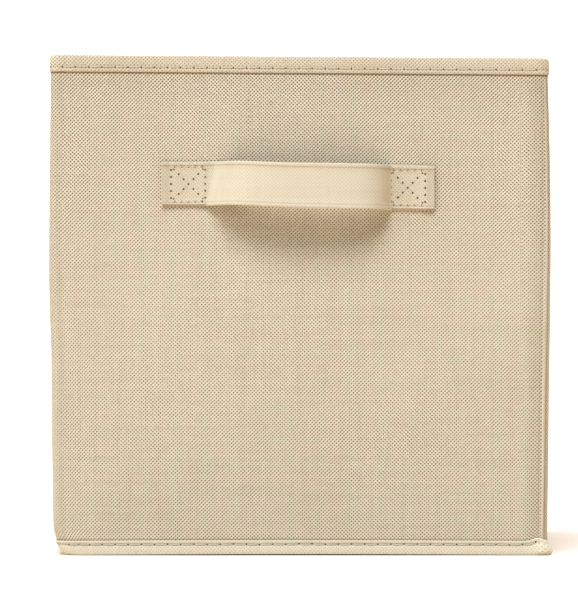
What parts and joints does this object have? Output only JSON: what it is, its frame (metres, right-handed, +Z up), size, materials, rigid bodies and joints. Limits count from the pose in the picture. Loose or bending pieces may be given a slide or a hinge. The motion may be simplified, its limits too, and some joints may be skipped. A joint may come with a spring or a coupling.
{
  "type": "fabric storage bin",
  "caption": "Collapsible square fabric storage bin with stiffened walls, bound rims, a flip-up base board and a strap handle on the front.",
  "frame": {"origin": "centre of the footprint, on the floor", "axes": "+X to the right seen from the front, +Y to the back, +Z up; the handle is on the front wall, which faces -Y"},
  "size_m": [0.2676, 0.2876, 0.267],
  "materials": {
    "outer_cloth": "matt embossed non-woven cloth",
    "lining": "matt non-woven cloth",
    "binding": "matt non-woven tape",
    "strap": "matt folded non-woven strap",
    "board_cover": "matt non-woven cloth",
    "thread": "soft polyester thread",
    "cardboard": "raw greyboard"
  },
  "bodies": {
    "front_wall": {"front_outer_cloth": "outer_cloth", "front_stiffener": "cardboard", "front_lining": "lining", "front_rim_binding": "binding", "front_hem_binding": "binding", "front_rim_stitches": "thread", "front_hem_stitches": "thread", "handle_left_end": "strap", "handle_right_end": "strap", "handle_left_stitches": "thread", "handle_right_stitches": "thread", "base_cloth": "outer_cloth"},
    "left_front": {"left_front_outer_cloth": "outer_cloth", "left_front_stiffener": "cardboard", "left_front_lining": "lining", "left_front_rim_binding": "binding", "left_front_hem_binding": "binding", "left_front_rim_stitches": "thread", "left_front_hem_stitches": "thread"},
    "left_rear": {"left_rear_outer_cloth": "outer_cloth", "left_rear_stiffener": "cardboard", "left_rear_lining": "lining", "left_rear_rim_binding": "binding", "left_rear_hem_binding": "binding", "left_rear_rim_stitches": "thread", "left_rear_hem_stitches": "thread"},
    "back_wall": {"back_outer_cloth": "outer_cloth", "back_stiffener": "cardboard", "back_lining": "lining", "back_rim_binding": "binding", "back_hem_binding": "binding", "back_rim_stitches": "thread", "back_hem_stitches": "thread"},
    "right_rear": {"right_rear_outer_cloth": "outer_cloth", "right_rear_stiffener": "cardboard", "right_rear_lining": "lining", "right_rear_rim_binding": "binding", "right_rear_hem_binding": "binding", "right_rear_rim_stitches": "thread", "right_rear_hem_stitches": "thread"},
    "right_front": {"right_front_outer_cloth": "outer_cloth", "right_front_stiffener": "cardboard", "right_front_lining": "lining", "right_front_rim_binding": "binding", "right_front_hem_binding": "binding", "right_front_rim_stitches": "thread", "right_front_hem_stitches": "thread"},
    "rear_right_corner": {"rear_right_corner_outer_cloth": "outer_cloth", "rear_right_corner_lining": "lining", "rear_right_corner_rim_binding": "binding", "rear_right_corner_hem_binding": "binding"},
    "base_board": {"base_board_core": "cardboard", "base_board_cover": "board_cover"},
    "handle_loop": {"handle_loop": "strap"}
  },
  "joints": [
    {"name": "collapse", "type": "hinge", "parent": "front_wall", "child": "left_front", "pos_m": [-0.12835, -0.1248, 0], "axis": [0, 0, -1], "range_deg": [0, 88], "deforming": ["base_cloth", "base_board_core", "base_board_cover"]},
    {"name": "left_crease", "type": "hinge", "parent": "left_front", "child": "left_rear", "pos_m": [-0.13395, 0.00178, 0], "axis": [0, 0, 1], "range_deg": [0, 176]},
    {"name": "rear_left_corner", "type": "hinge", "parent": "left_rear", "child": "back_wall", "pos_m": [-0.12835, 0.12835, 0], "axis": [0, 0, -1], "range_deg": [0, 88]},
    {"name": "front_right_corner", "type": "hinge", "parent": "front_wall", "child": "right_front", "pos_m": [0.12835, -0.1248, 0], "axis": [0, 0, 1], "range_deg": [0, 88]},
    {"name": "right_crease", "type": "hinge", "parent": "right_front", "child": "right_rear", "pos_m": [0.13395, 0.00178, 0], "axis": [0, 0, -1], "range_deg": [0, 176]},
    {"name": "rear_right_corner", "type": "hinge", "parent": "right_rear", "child": "rear_right_corner", "pos_m": [0.12835, 0.12835, 0], "axis": [0, 0, 1], "range_deg": [0, 88]},
    {"name": "base_board_flap", "type": "hinge", "parent": "front_wall", "child": "base_board", "pos_m": [0, -0.12645, 0.00265], "axis": [1, 0, 0], "range_deg": [0, 90]},
    {"name": "handle_swing", "type": "hinge", "parent": "front_wall", "child": "handle_loop", "pos_m": [0, -0.1327, 0.1972], "axis": [1, 0, 0], "range_deg": [-30, 30]}
  ],
  "couplings": [
    {"joint": "left_crease", "follows": "collapse", "ratio": 2},
    {"joint": "rear_left_corner", "follows": "collapse", "ratio": 1},
    {"joint": "front_right_corner", "follows": "collapse", "ratio": 1},
    {"joint": "right_crease", "follows": "collapse", "ratio": 2},
    {"joint": "rear_right_corner", "follows": "collapse", "ratio": 1},
    {"joint": "base_board_flap", "follows": "collapse", "ratio": 1.0226}
  ]
}
